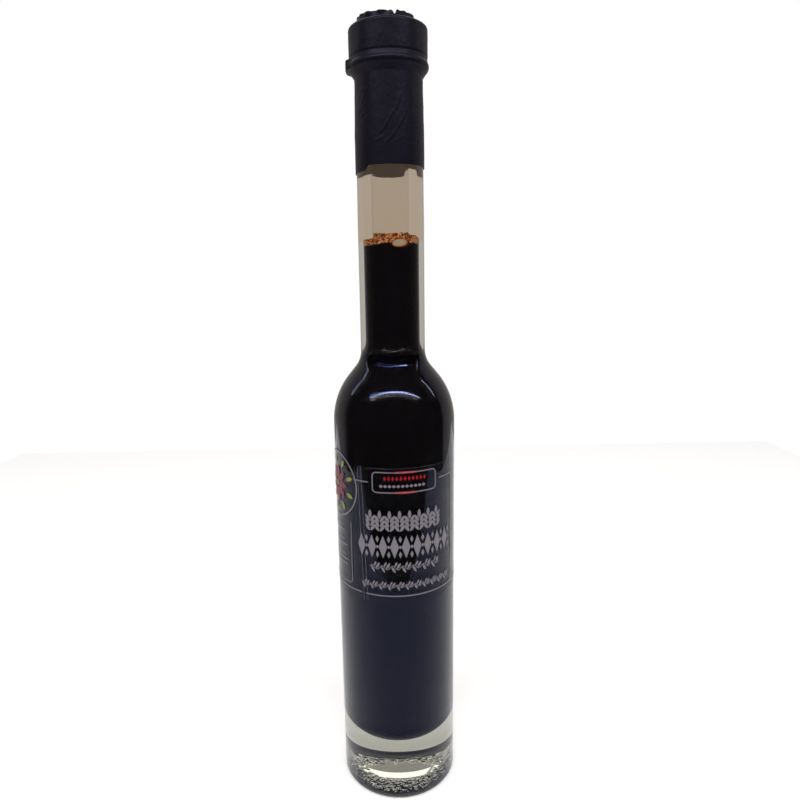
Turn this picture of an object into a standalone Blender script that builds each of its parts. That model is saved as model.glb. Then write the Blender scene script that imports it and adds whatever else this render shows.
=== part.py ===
# Slim vinegar bottle with a stopper under a shrunk film capsule.
# Lengths are in millimetres and are turned to metres when a mesh is made.
# The bottle stands on Z = 0 with its axis on Z. The front of the label faces -Y.

import math

import bmesh
import bpy

MM = 0.001
SEGMENTS = 48            # facets round every turned piece
FREE_GAP = 0.3           # between the glass and what stands inside it
FILM_GAP = 0.2           # between the shrunk film and what it covers
LABEL_GAP = 0.15         # between the label and the glass

# Glass body
BODY_R = 23.42
HEEL_R = 2.2             # rounding where the wall meets the base
REST_RING_WIDTH = 3.4    # flat ring that the bottle stands on
PUNT_DEPTH = 2.2         # hollow under the base
WALL = 2.42
CAVITY_FLOOR_Z = 21.5    # the base is thick
CAVITY_CORNER_R = 14.0

# Shoulder and neck
SHOULDER_Z = 152.5       # where the straight wall ends
SHOULDER_R = 28.0        # large outward round
SHOULDER_SLOPE = math.radians(39.3)
THROAT_R = 10.0          # small inward round below the neck
INNER_THROAT_R = 12.0
NECK_R = 12.2
NECK_STRAIGHT_TOP_Z = 226.0
BORE_R = 6.7
MOUTH_Z = 281.2
MOUTH_BEVEL = 0.5

# Vinegar and the froth on it
VINEGAR_LEVEL_Z = 219.8
FROTH_TOP_Z = 222.2
FROTH_DISH = 0.6         # how far the froth sinks at its middle

# Shrunk film capsule, outer surface
FILM_THICKNESS = 0.22
SKIRT_EDGE_Z = 245.0
SKIRT_EDGE_R = 12.47
SKIRT_FULL_Z = 252.0     # above this the skirt narrows
WAIST_Z = 275.2
WAIST_R = 12.1
COLLAR_CENTRE = (12.3, 278.75)
COLLAR_ROUND_R = 1.95
COLLAR_START = math.radians(-48.0)
COLLAR_END = math.radians(35.0)
GROOVE_R = 13.7
GROOVE_Z = 281.35
HEAD_R = 13.87
HEAD_START_Z = 281.9
HEAD_TOP_Z = 291.4
HEAD_ROUND_R = 1.0

# The film's free end stands up on the head as a ring, a little off the axis and torn at one place
LIP_R = 10.1
LIP_SHIFT_X = -0.7
LIP_LEAN = 0.12
LIP_FRONT_H = 2.7
LIP_SIDE_H = 0.6         # extra height at the sides
LIP_TEAR_AZ = math.radians(18.0)
LIP_TEAR_HALF_WIDTH = math.radians(7.5)
LIP_TEAR_DEPTH = 1.1

# A fold of spare film stands out from the collar on the left
FOLD_AZ = math.radians(-90.0)
FOLD_HALF_ANGLE = math.radians(40.0)
FOLD_R = 15.1
FOLD_Z = (277.2, 281.5)

# Stopper
SHANK_BOTTOM_Z = 259.0
SHANK_BEVEL = 1.0
STOPPER_SEAT_Z = MOUTH_Z + FREE_GAP
STOPPER_HEAD_BEVEL = 0.4

# Label, a clear film wrapped once round with a narrow gap between its ends
LABEL_Z = (86.9, 139.4)
LABEL_THICKNESS = 0.12
LABEL_GAP_AZ = math.radians(-31.7)
LABEL_GAP_WIDTH = math.radians(3.8)
LABEL_SKEW = math.radians(4.1)       # the ends lean by this over the label's height


def remove_all_objects():
    for thing in list(bpy.data.objects):
        bpy.data.objects.remove(thing, do_unlink=True)


def make_material(name, colour, roughness, alpha=1.0, metallic=0.0):
    material = bpy.data.materials.new(name)
    material.use_nodes = True
    shader = material.node_tree.nodes["Principled BSDF"]
    shader.inputs["Base Color"].default_value = (*colour, 1.0)
    shader.inputs["Roughness"].default_value = roughness
    shader.inputs["Metallic"].default_value = metallic
    shader.inputs["Alpha"].default_value = alpha
    return material


def azimuth(x, y):
    """Angle from the front of the bottle (-Y), positive towards +X."""
    return math.atan2(x, -y)


def angle_between(a, b):
    """Signed difference of two angles, within half a turn."""
    return (a - b + math.pi) % (2.0 * math.pi) - math.pi


def bump(distance, half_width):
    """One at the centre, falling smoothly to nothing at half_width."""
    if abs(distance) >= half_width:
        return 0.0
    return 0.5 + 0.5 * math.cos(math.pi * distance / half_width)


def arc(centre, radius, start, end, steps):
    """Points on an arc in the (r, z) plane, both ends included."""
    points = []
    for i in range(steps + 1):
        angle = start + (end - start) * i / steps
        points.append((centre[0] + radius * math.cos(angle), centre[1] + radius * math.sin(angle)))
    return points


def offset(points, distance):
    """The same outline moved inwards, to the left of its direction of travel."""
    moved = []
    for i, (r, z) in enumerate(points):
        before = points[max(i - 1, 0)]
        after = points[min(i + 1, len(points) - 1)]
        dr, dz = after[0] - before[0], after[1] - before[1]
        length = math.hypot(dr, dz)
        moved.append((r - dz / length * distance, z + dr / length * distance))
    return moved


def shoulder(low_r, high_r, outward_r, inward_r, outward_steps, inward_steps):
    """Outline from the straight wall up to the neck: a round, a slope, a round."""
    slope = SHOULDER_SLOPE
    points = arc((low_r - outward_r, SHOULDER_Z), outward_r, 0.0, slope, outward_steps)
    slope_r, slope_z = points[-1]
    throat_r = high_r + inward_r * (1.0 - math.cos(slope))
    throat_z = slope_z + (slope_r - throat_r) / math.tan(slope)
    centre = (high_r + inward_r, throat_z + inward_r * math.sin(slope))
    return points + arc(centre, inward_r, math.pi + slope, math.pi, inward_steps)


def skirt(steps=4):
    """Outer side of the film on the neck, from its lower edge to the waist."""
    points = [(SKIRT_EDGE_R, SKIRT_EDGE_Z)]
    for i in range(steps + 1):
        t = i / steps
        ease = t * t * (3.0 - 2.0 * t)
        points.append((SKIRT_EDGE_R + (WAIST_R - SKIRT_EDGE_R) * ease,
                       SKIRT_FULL_Z + (WAIST_Z - SKIRT_FULL_Z) * t))
    return points


def collar(steps=5):
    """Outer side of the film over the ring at the mouth, up to the groove."""
    round_points = arc(COLLAR_CENTRE, COLLAR_ROUND_R, COLLAR_START, COLLAR_END, steps)
    return round_points + [(GROOVE_R, GROOVE_Z)]


def head(steps=4):
    """Outer side of the film over the stopper's head, in to the foot of the lip."""
    centre = (HEAD_R - HEAD_ROUND_R, HEAD_TOP_Z - HEAD_ROUND_R)
    return [(HEAD_R, HEAD_START_Z)] + arc(centre, HEAD_ROUND_R, 0.0, math.pi / 2.0, steps)


def turned(name, outline, material, closed=False, sweep=2.0 * math.pi, steps=SEGMENTS):
    """Spin an (r, z) outline round Z into a named object."""
    mesh = bmesh.new()
    verts = [mesh.verts.new((max(r, 0.0) * MM, 0.0, z * MM)) for r, z in outline]
    pairs = list(zip(verts, verts[1:]))
    if closed:
        pairs.append((verts[-1], verts[0]))
    edges = [mesh.edges.new(pair) for pair in pairs]
    full_turn = sweep >= 2.0 * math.pi
    bmesh.ops.spin(mesh, geom=verts + edges, cent=(0, 0, 0), axis=(0, 0, 1), angle=sweep,
                   steps=steps, use_merge=full_turn)
    bmesh.ops.remove_doubles(mesh, verts=mesh.verts, dist=1e-6)
    if not full_turn:
        bmesh.ops.holes_fill(mesh, edges=[e for e in mesh.edges if e.is_boundary], sides=0)
    bmesh.ops.recalc_face_normals(mesh, faces=mesh.faces)
    data = bpy.data.meshes.new(name)
    mesh.to_mesh(data)
    mesh.free()
    data.materials.append(material)
    data.shade_smooth()
    data.set_sharp_from_angle(angle=math.radians(30.0))
    thing = bpy.data.objects.new(name, data)
    bpy.context.scene.collection.objects.link(thing)
    return thing


def cavity_outline(gap=0.0):
    """Inside of the glass from the middle of its floor to the top of the shoulder."""
    radius = BODY_R - WALL
    floor = [(0.0, CAVITY_FLOOR_Z)]
    corner = arc((radius - CAVITY_CORNER_R, CAVITY_FLOOR_Z + CAVITY_CORNER_R), CAVITY_CORNER_R,
                 -math.pi / 2.0, 0.0, 5)
    rise = shoulder(radius, BORE_R, SHOULDER_R - WALL, INNER_THROAT_R, 4, 4)
    points = floor + corner + rise
    if gap:
        points = offset(points, gap)
        points[0] = (0.0, points[0][1])
    return points


def glass_bottle(material):
    heel_centre = (BODY_R - HEEL_R, HEEL_R)
    ring_inner_r = BODY_R - HEEL_R - REST_RING_WIDTH
    punt_r = (ring_inner_r ** 2 + PUNT_DEPTH ** 2) / (2.0 * PUNT_DEPTH)
    punt_angle = math.asin(ring_inner_r / punt_r)
    punt = arc((0.0, PUNT_DEPTH - punt_r), punt_r, math.pi / 2.0, math.pi / 2.0 - punt_angle, 4)
    heel = arc(heel_centre, HEEL_R, -math.pi / 2.0, 0.0, 4)
    outer_shoulder = shoulder(BODY_R, NECK_R, SHOULDER_R, THROAT_R, 6, 4)
    covered = offset(skirt() + collar(), FILM_THICKNESS + FILM_GAP)[:-1]
    lip = [(covered[-1][0] - 0.1, MOUTH_Z - MOUTH_BEVEL),
           (covered[-1][0] - 0.1 - MOUTH_BEVEL, MOUTH_Z)]
    mouth = [(BORE_R + MOUTH_BEVEL, MOUTH_Z), (BORE_R, MOUTH_Z - MOUTH_BEVEL)]
    outline = (punt + heel + outer_shoulder + [(NECK_R, NECK_STRAIGHT_TOP_Z)] + covered + lip
               + mouth + cavity_outline()[::-1])
    return turned("glass_bottle", outline, material)


def vinegar(material):
    outline = cavity_outline(FREE_GAP)
    surface_r = BORE_R - FREE_GAP
    outline += [(surface_r, VINEGAR_LEVEL_Z), (0.0, VINEGAR_LEVEL_Z)]
    return turned("vinegar", outline, material)


def froth(material):
    radius = BORE_R - FREE_GAP
    bottom = VINEGAR_LEVEL_Z + FREE_GAP
    outline = [(0.0, bottom), (radius, bottom), (radius, FROTH_TOP_Z),
               (radius - 1.5, FROTH_TOP_Z - 0.3), (0.0, FROTH_TOP_Z - FROTH_DISH)]
    return turned("froth", outline, material)


def stopper(material):
    shank_r = BORE_R - FREE_GAP
    shank = [(0.0, SHANK_BOTTOM_Z), (shank_r - SHANK_BEVEL, SHANK_BOTTOM_Z),
             (shank_r, SHANK_BOTTOM_Z + SHANK_BEVEL), (shank_r, STOPPER_SEAT_Z)]
    top = offset(head(), FILM_THICKNESS + FILM_GAP)[1:]
    side_r = HEAD_R - FILM_THICKNESS - FILM_GAP
    seat = [(side_r - STOPPER_HEAD_BEVEL, STOPPER_SEAT_Z),
            (side_r, STOPPER_SEAT_Z + STOPPER_HEAD_BEVEL)]
    return turned("stopper", shank + seat + top + [(0.0, top[-1][1])], material)


def lip_height(az):
    """Height of the film's free end, highest at the sides and torn at one place."""
    torn = bump(angle_between(az, LIP_TEAR_AZ), LIP_TEAR_HALF_WIDTH)
    return LIP_FRONT_H + LIP_SIDE_H * math.sin(az) ** 2 - LIP_TEAR_DEPTH * torn


def capsule(material):
    outer = skirt() + collar() + head()
    inner = offset(outer, FILM_THICKNESS)
    lip = [(LIP_R, HEAD_TOP_Z + 0.1), (LIP_R - LIP_LEAN, HEAD_TOP_Z + 1.0),
           (LIP_R - LIP_LEAN - FILM_THICKNESS, HEAD_TOP_Z + 1.0),
           (LIP_R - FILM_THICKNESS, HEAD_TOP_Z - FILM_THICKNESS)]
    thing = turned("capsule", outer + lip + inner[::-1], material, closed=True)
    for vert in thing.data.vertices:
        x, y, z = (value / MM for value in vert.co)
        az = azimuth(x, y)
        if z > HEAD_TOP_Z - HEAD_ROUND_R and math.hypot(x, y) < LIP_R + 0.1:
            vert.co.x += LIP_SHIFT_X * MM
            if z > HEAD_TOP_Z + 0.5:
                vert.co.z = (HEAD_TOP_Z + lip_height(az)) * MM
        if FOLD_Z[0] < z < FOLD_Z[1]:
            room = FOLD_R - COLLAR_CENTRE[0] - COLLAR_ROUND_R
            stretch = 1.0 + room * bump(angle_between(az, FOLD_AZ), FOLD_HALF_ANGLE) / math.hypot(x, y)
            vert.co.x *= stretch
            vert.co.y *= stretch
    return thing


def label(material):
    inner_r = BODY_R + LABEL_GAP
    outer_r = inner_r + LABEL_THICKNESS
    low, high = LABEL_Z
    outline = [(inner_r, low), (outer_r, low), (outer_r, high), (inner_r, high)]
    sweep = 2.0 * math.pi - LABEL_GAP_WIDTH
    thing = turned("label", outline, material, closed=True, sweep=sweep, steps=SEGMENTS - 1)
    start = LABEL_GAP_AZ + LABEL_GAP_WIDTH / 2.0 - math.pi / 2.0
    middle = (low + high) / 2.0
    for vert in thing.data.vertices:
        x, y, z = vert.co
        turn = start + LABEL_SKEW * (z / MM - middle) / (high - low)
        vert.co.x = x * math.cos(turn) - y * math.sin(turn)
        vert.co.y = x * math.sin(turn) + y * math.cos(turn)
    return thing


def main():
    remove_all_objects()
    glass_bottle(make_material("flint_glass", (0.92, 0.93, 0.90), 0.03, alpha=0.35))
    vinegar(make_material("balsamic_vinegar", (0.012, 0.008, 0.012), 0.1))
    froth(make_material("vinegar_froth", (0.45, 0.22, 0.10), 0.3))
    stopper(make_material("stopper_plastic", (0.02, 0.02, 0.02), 0.45))
    capsule(make_material("black_shrink_film", (0.02, 0.018, 0.022), 0.42))
    label(make_material("clear_label_film", (0.10, 0.10, 0.11), 0.25, alpha=0.4))


main()
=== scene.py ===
# %% [markdown]
# A slim bottle of dark vinegar, dressed for a picture.
# The imported model gives the real sizes. This script gives every piece its finish: clear glass,
# near-black vinegar with froth on it, a shrunk black film over the stopper and a printed label.
# Lengths of the bottle are in millimetres, and one factor turns them to metres when a mesh is made.

# %% Load the model and list its parts
import random
from math import asin, atan2, ceil, cos, degrees, exp, hypot, pi, radians, sin, sqrt, tan

import bmesh
import bpy
from mathutils import Matrix, Vector, noise


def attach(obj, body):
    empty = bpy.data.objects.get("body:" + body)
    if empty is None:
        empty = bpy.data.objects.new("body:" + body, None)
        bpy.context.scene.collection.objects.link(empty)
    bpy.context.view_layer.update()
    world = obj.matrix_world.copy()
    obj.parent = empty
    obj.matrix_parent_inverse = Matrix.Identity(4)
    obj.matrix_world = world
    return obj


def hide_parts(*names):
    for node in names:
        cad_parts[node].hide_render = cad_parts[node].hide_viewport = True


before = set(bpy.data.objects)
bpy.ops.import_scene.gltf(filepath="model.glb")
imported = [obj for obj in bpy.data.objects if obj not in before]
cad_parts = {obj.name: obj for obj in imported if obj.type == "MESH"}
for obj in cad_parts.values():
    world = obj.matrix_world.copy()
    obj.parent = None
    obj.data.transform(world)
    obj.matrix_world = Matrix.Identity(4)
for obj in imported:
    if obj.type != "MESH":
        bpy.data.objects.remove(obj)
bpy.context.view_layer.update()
MM = 0.001
print("nodes:", ", ".join(sorted(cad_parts)))

# %% [markdown]
# Colours are written as hex values, as they are picked from a picture. A renderer adds light in
# linear values, so each colour is turned to linear once, by one function, before a shader gets it.
# Small functions add the nodes that come back in every tree, so a material reads as a list.

# %% Colour, node and object helpers
def linear(hex_colour):
    channels = [int(hex_colour[i:i + 2], 16) / 255.0 for i in (1, 3, 5)]
    curve = [c / 12.92 if c <= 0.04045 else ((c + 0.055) / 1.055) ** 2.4 for c in channels]
    return (*curve, 1.0)


def add(tree, kind, settings=None, inputs=None):
    """Add one node. An input is a value, or an output socket to link from."""
    node = tree.nodes.new(kind)
    for key, value in (settings or {}).items():
        setattr(node, key, value)
    for key, value in (inputs or {}).items():
        if isinstance(value, bpy.types.NodeSocket):
            tree.links.new(value, node.inputs[key])
        else:
            node.inputs[key].default_value = value
    return node


def new_material(name, **values):
    """A material with a Principled BSDF, whose sockets are named with _ for a space."""
    material = bpy.data.materials.new(name)
    material.use_nodes = True
    shader = material.node_tree.nodes["Principled BSDF"]
    for key, value in values.items():
        shader.inputs[key.replace("_", " ")].default_value = value
    return material, material.node_tree, shader


def maths(tree, operation, a, b=0.0):
    return add(tree, "ShaderNodeMath", {"operation": operation}, {0: a, 1: b}).outputs[0]


def mixed(tree, factor, a, b, blend="MIX"):
    """A colour between two, or one made of both by a blend."""
    return add(tree, "ShaderNodeMix", {"data_type": "RGBA", "blend_type": blend},
               {"Factor": factor, "A": a, "B": b}).outputs["Result"]


def object_noise(tree, scale, detail=2.0):
    """A soft random value from 0 to 1 that is fixed to the object."""
    place = add(tree, "ShaderNodeTexCoord").outputs["Object"]
    return add(tree, "ShaderNodeTexNoise",
               inputs={"Vector": place, "Scale": scale, "Detail": detail}).outputs[0]


def ranged(tree, value, low, high):
    """A value from 0 to 1, stretched to run from low to high."""
    return add(tree, "ShaderNodeMapRange",
               inputs={"Value": value, "To Min": low, "To Max": high}).outputs["Result"]


def colour_ramp(tree, value, stops):
    """A colour for each value. A stop is a place from 0 to 1 and a hex colour."""
    node = add(tree, "ShaderNodeValToRGB", inputs={0: value})
    stop_list = node.color_ramp.elements
    for stop, (place, colour) in ((stop_list[0], stops[0]), (stop_list[1], stops[-1])):
        stop.position, stop.color = place, linear(colour)
    for place, colour in stops[1:-1]:
        stop_list.new(place).color = linear(colour)
    return node.outputs[0]


def raised(tree, shader, height, strength, distance, invert=False):
    """Let a value raise and sink a shader's surface by a distance in metres."""
    bump = add(tree, "ShaderNodeBump", {"invert": invert},
               {"Height": height, "Strength": strength, "Distance": distance})
    tree.links.new(bump.outputs[0], shader.inputs["Normal"])


def store(mesh, name, values):
    """Keep a number on each point of a mesh, which stored() reads in a shader."""
    mesh.attributes.new(name, "FLOAT", "POINT").data.foreach_set("value", values)


def stored(tree, name):
    return add(tree, "ShaderNodeAttribute", {"attribute_name": name}).outputs["Fac"]


def in_scene(name, data):
    thing = bpy.data.objects.new(name, data)
    bpy.context.scene.collection.objects.link(thing)
    return thing


print("mid grey in linear values:", round(linear("#808080")[0], 3))

# %% [markdown]
# The camera comes first, because everything is judged from it. It stands at seven tenths of the
# bottle's height and a quarter of a metre away, so the base is seen from well above while the
# stopper is seen from a little below. That strong perspective is what makes the rings curve down at
# the base and up at the cap. A small roll and shift finish the framing.

# %% Camera at the photograph's viewing angle
CAMERA_DISTANCE = 242.0
CAMERA_HEIGHT = 208.9
CAMERA_PITCH = radians(-11.46)
CAMERA_ROLL = radians(-0.9425)
CAMERA_FOCAL_FRACTION = 0.7932  # focal length over the picture's width
CAMERA_SHIFT_X = 0.00776
SENSOR = 36.0

camera_data = bpy.data.cameras.new("camera")
camera_data.sensor_width = SENSOR
camera_data.lens = CAMERA_FOCAL_FRACTION * SENSOR
camera_data.shift_x = CAMERA_SHIFT_X
camera_data.clip_start = 0.01
camera = in_scene("camera", camera_data)
aim = Matrix.Rotation(pi / 2.0 + CAMERA_PITCH, 4, "X") @ Matrix.Rotation(CAMERA_ROLL, 4, "Z")
camera.matrix_world = Matrix.Translation((0.0, -CAMERA_DISTANCE * MM, CAMERA_HEIGHT * MM)) @ aim
bpy.context.scene.camera = camera
print("lens in mm:", round(camera_data.lens, 1))

# %% [markdown]
# Glass shows its surroundings and little else, so the light is designed as reflections. Behind and
# beside the bottle the room is pale, which gives the light edges. In front it is dark, which gives
# the deep black middle. Light that has gone through glass meets a pale room on all sides, so the
# empty neck stays clear. A long lamp above the camera draws the bright bows on the shoulder, and
# two tall soft lamps draw the streaks down its sides.

# %% Room
ROOM_PALE = linear("#B2ADA7")
ROOM_DARK = linear("#06060A")
BACKDROP = linear("#FFFFFF")
SOFT_EDGE = (0.05, 0.40)  # how far back the pale room begins, on the left
CRISP_EDGE = (0.20, 0.27)  # the same on the right, where it begins at once
THROUGH_GLASS = 0.8  # how pale all sides are to light that has gone through glass

bpy.context.scene.view_settings.view_transform = "Standard"  # white stays white
world = bpy.data.worlds.new("room")
world.use_nodes = True
bpy.context.scene.world = world
tree = world.node_tree
direction = add(tree, "ShaderNodeTexCoord").outputs["Generated"]
split = add(tree, "ShaderNodeSeparateXYZ", inputs={0: direction})
soft, crisp = [add(tree, "ShaderNodeMapRange", {"interpolation_type": "SMOOTHSTEP"},
                   {"Value": split.outputs["Y"], "From Min": low, "From Max": high})
               for low, high in (SOFT_EDGE, CRISP_EDGE)]
right = maths(tree, "GREATER_THAN", split.outputs["X"])
behind = add(tree, "ShaderNodeMix", inputs={"Factor": right, "A": soft.outputs["Result"],
                                            "B": crisp.outputs["Result"]})
path = add(tree, "ShaderNodeLightPath")
through = maths(tree, "MULTIPLY", path.outputs["Is Transmission Ray"], THROUGH_GLASS)
pale = maths(tree, "MAXIMUM", behind.outputs["Result"], through)
room = mixed(tree, pale, ROOM_DARK, ROOM_PALE)
seen = mixed(tree, path.outputs["Is Camera Ray"], room, BACKDROP)
tree.links.new(seen, tree.nodes["Background"].inputs["Color"])

# %% Floor and lamps, in metres
FLOOR_FRONT = -0.20
FLOOR_BACK = 0.50
FLOOR_HALF_WIDTH = 0.45
FLOOR_DROP = 0.0002  # a hair under the base
LAMP_TARGET = Vector((0.0, 0.0, 0.15))
STRIP_LAMPS = 15
STRIP_HALF_LENGTH = 1.15
STRIP_PLACE = (0.77, 0.92)  # in front of the bottle, and above its middle
STRIP_LAMP = (0.13, 0.055, 60)  # width, height and radiance of each

corners = [(-FLOOR_HALF_WIDTH, FLOOR_FRONT), (FLOOR_HALF_WIDTH, FLOOR_FRONT),
           (FLOOR_HALF_WIDTH, FLOOR_BACK), (-FLOOR_HALF_WIDTH, FLOOR_BACK)]
floor_mesh = bpy.data.meshes.new("floor")
floor_mesh.from_pydata([(x, y, -FLOOR_DROP) for x, y in corners], [], [(0, 1, 2, 3)])
floor = in_scene("floor", floor_mesh)
paper = new_material("light_table", Base_Color=linear("#E6E5E4"), Roughness=0.8,
                     Specular_IOR_Level=0.1, Emission_Color=linear("#FFFFFF"),
                     Emission_Strength=0.42)[0]
floor_mesh.materials.append(paper)


def soft_lamp(name, azimuth_deg, elevation_deg, distance, width, height, radiance):
    """A rectangular lamp that looks at the bottle. Azimuth 0 is in front, 90 is to the right."""
    data = bpy.data.lights.new(name, "AREA")
    data.shape = "RECTANGLE"
    data.size = width
    data.size_y = height
    data.energy = radiance * pi * width * height
    lamp = in_scene(name, data)
    az, el = radians(azimuth_deg), radians(elevation_deg)
    away = Vector((sin(az) * cos(el), -cos(az) * cos(el), sin(el)))
    lamp.location = LAMP_TARGET + away * distance
    lamp.rotation_euler = away.to_track_quat("Z", "Y").to_euler()


for i in range(STRIP_LAMPS):
    across = STRIP_HALF_LENGTH * (2.0 * i / (STRIP_LAMPS - 1) - 1.0)
    ahead, above = STRIP_PLACE
    level = hypot(across, ahead)
    soft_lamp(f"strip_{i}", degrees(atan2(across, ahead)),
              degrees(atan2(above, level)), hypot(level, above), *STRIP_LAMP)
soft_lamp("back_lamp", 180, 48, 1.1, 1.3, 0.34, 1.7)
soft_lamp("tall_left", -104, 34, 0.9, 0.08, 0.4, 3)
soft_lamp("tall_right", 96, 34, 0.9, 0.035, 0.4, 9)

# %% [markdown]
# The bottle is a turned form, so one outline in radius and height describes all of it. Each stretch
# is an arc or a straight line between named sizes, the same sizes as the solid model has. The wall
# under the film and the film itself share one outline, moved in by the gap between them.

# %% Named sizes and outline helpers
BODY_R = 23.42
HEEL_R = 2.2
REST_RING_WIDTH = 3.4
PUNT_DEPTH = 2.2
WALL = 2.42
CAVITY_FLOOR_Z = 21.5
CAVITY_CORNER_R = 14.0
SHOULDER_Z = 152.5
SHOULDER_R = 28.0
SHOULDER_SLOPE = radians(39.3)
THROAT_R = 10.0
INNER_THROAT_R = 12.0
NECK_R = 12.2
NECK_STRAIGHT_TOP_Z = 226.0
BORE_R = 6.7
MOUTH_Z = 281.2
MOUTH_BEVEL = 0.5
VINEGAR_LEVEL_Z = 219.8
FILM_THICKNESS = 0.22
FILM_GAP = 0.2
SKIRT_EDGE_R = 12.47
SKIRT_EDGE_Z = 245.0
SKIRT_FULL_Z = 252.0
WAIST_R = 12.1
WAIST_Z = 275.2
COLLAR_CENTRE = (12.3, 278.75)
COLLAR_ROUND_R = 1.95
COLLAR_START = radians(-48.0)
COLLAR_END = radians(35.0)
GROOVE_R = 13.7
GROOVE_Z = 281.35
HEAD_R = 13.87
HEAD_START_Z = 281.9
HEAD_TOP_Z = 291.4
HEAD_ROUND_R = 1.0


def arc(centre, radius, start, end, steps):
    points = []
    for i in range(steps + 1):
        angle = start + (end - start) * i / steps
        points.append((centre[0] + radius * cos(angle), centre[1] + radius * sin(angle)))
    return points


def offset(points, distance):
    """The same outline moved to the left of its direction of travel."""
    moved = []
    for i, (r, z) in enumerate(points):
        before = points[max(i - 1, 0)]
        after = points[min(i + 1, len(points) - 1)]
        dr, dz = after[0] - before[0], after[1] - before[1]
        length = hypot(dr, dz)
        moved.append((r - dz / length * distance, z + dr / length * distance))
    return moved


def shoulder(low_r, high_r, outward_r, inward_r):
    """From the body to the neck: a round, a straight slope and a round the other way."""
    slope = SHOULDER_SLOPE
    points = arc((low_r - outward_r, SHOULDER_Z), outward_r, 0.0, slope, 24)
    slope_r, slope_z = points[-1]
    throat_r = high_r + inward_r * (1.0 - cos(slope))
    throat_z = slope_z + (slope_r - throat_r) / tan(slope)
    centre = (high_r + inward_r, throat_z + inward_r * sin(slope))
    return points + arc(centre, inward_r, pi + slope, pi, 14)


def skirt(steps=14):
    points = [(SKIRT_EDGE_R, SKIRT_EDGE_Z)]
    for i in range(steps + 1):
        t = i / steps
        ease = t * t * (3.0 - 2.0 * t)
        points.append((SKIRT_EDGE_R + (WAIST_R - SKIRT_EDGE_R) * ease,
                       SKIRT_FULL_Z + (WAIST_Z - SKIRT_FULL_Z) * t))
    return points


def collar(steps=12):
    round_points = arc(COLLAR_CENTRE, COLLAR_ROUND_R, COLLAR_START, COLLAR_END, steps)
    return round_points + [(GROOVE_R, GROOVE_Z)]


def cavity(reach=0.0):
    """Inside of the glass, from the middle of its floor to the top of the shoulder."""
    radius = BODY_R - WALL + reach
    corner = arc((radius - CAVITY_CORNER_R, CAVITY_FLOOR_Z - reach + CAVITY_CORNER_R),
                 CAVITY_CORNER_R, -pi / 2.0, 0.0, 20)
    rise = shoulder(radius, BORE_R + reach, SHOULDER_R - WALL + reach, INNER_THROAT_R)
    return [(0.0, CAVITY_FLOOR_Z - reach)] + corner + rise


print("points on the inside of the glass:", len(cavity()))

# %% [markdown]
# A lathe turns a flat outline into a body. Here a Geometry Nodes tree does it: a grid has a row for
# each step round and a column for each outline point, and every grid point looks up its radius and
# height and is swung to its angle. It turns the glass, the vinegar, the froth, the film and the
# label.

# %% A lathe in Geometry Nodes
MERGE_DISTANCE = 1e-7  # in metres, for points that lie on each other
SHARP_ANGLE = radians(35.0)


def new_tree(name, whole_numbers, sizes):
    """An empty Geometry Nodes tree with named inputs: numbers, sizes and a material."""
    tree = bpy.data.node_groups.new(name, "GeometryNodeTree")
    for kind, labels in (("Geometry", ["Geometry"]), ("Int", whole_numbers), ("Float", sizes),
                         ("Material", ["Material"])):
        for label in labels:
            tree.interface.new_socket(label, in_out="INPUT", socket_type="NodeSocket" + kind)
    tree.interface.new_socket("Geometry", in_out="OUTPUT", socket_type="NodeSocketGeometry")
    return tree, tree.nodes.new("NodeGroupInput").outputs


def step(tree, kind, **inputs):
    """Add a Geometry node, whose inputs are named with _ for a space, and give its first output."""
    given = {key.replace("_", " "): value for key, value in inputs.items()}
    return add(tree, "GeometryNode" + kind, inputs=given).outputs[0]


def send_out(tree, geometry, material):
    """Give the geometry its material and make it the tree's result."""
    result = tree.nodes.new("NodeGroupOutput").inputs[0]
    tree.links.new(step(tree, "SetMaterial", Geometry=geometry, Material=material), result)
    return tree


def lathe_tree():
    tree, given = new_tree("lathe", ["Points", "Steps"], ["Start", "Sweep"])
    rows = maths(tree, "ADD", given["Steps"], 1.0)
    grid = step(tree, "MeshGrid", Vertices_X=given["Points"], Vertices_Y=rows)
    index = step(tree, "InputIndex")
    column = maths(tree, "FLOOR", maths(tree, "DIVIDE", maths(tree, "ADD", index, 0.5), rows))
    row = maths(tree, "SUBTRACT", index, maths(tree, "MULTIPLY", column, rows))
    outline = add(tree, "GeometryNodeSampleIndex", {"data_type": "FLOAT_VECTOR"},
                  {"Geometry": given["Geometry"], "Value": step(tree, "InputPosition"),
                   "Index": column})
    swing = maths(tree, "MULTIPLY", maths(tree, "DIVIDE", row, given["Steps"]), given["Sweep"])
    place = add(tree, "ShaderNodeVectorRotate", {"rotation_type": "Z_AXIS"},
                {"Vector": outline.outputs["Value"],
                 "Angle": maths(tree, "ADD", given["Start"], swing)})
    moved = step(tree, "SetPosition", Geometry=grid, Position=place.outputs[0])
    closed = step(tree, "MergeByDistance", Geometry=moved, Distance=MERGE_DISTANCE)
    return send_out(tree, step(tree, "SetShadeSmooth", Geometry=closed), given["Material"])


def run_tree(thing, tree, values):
    """Run a tree on an object with named values, and leave a plain mesh behind."""
    modifier = thing.modifiers.new(tree.name, "NODES")
    modifier.node_group = tree
    identifiers = {item.name: item.identifier for item in tree.interface.items_tree
                   if item.item_type == "SOCKET" and item.in_out == "INPUT"}
    for label, value in values.items():
        modifier[identifiers[label]] = value
    graph = bpy.context.evaluated_depsgraph_get()
    made = bpy.data.meshes.new_from_object(thing.evaluated_get(graph), depsgraph=graph)
    thing.modifiers.remove(modifier)
    thing.data = made


def from_points(name, points, faces=()):
    mesh = bpy.data.meshes.new(name)
    mesh.from_pydata([Vector(p) * MM for p in points], [], list(faces))
    return in_scene(name, mesh)


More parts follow.
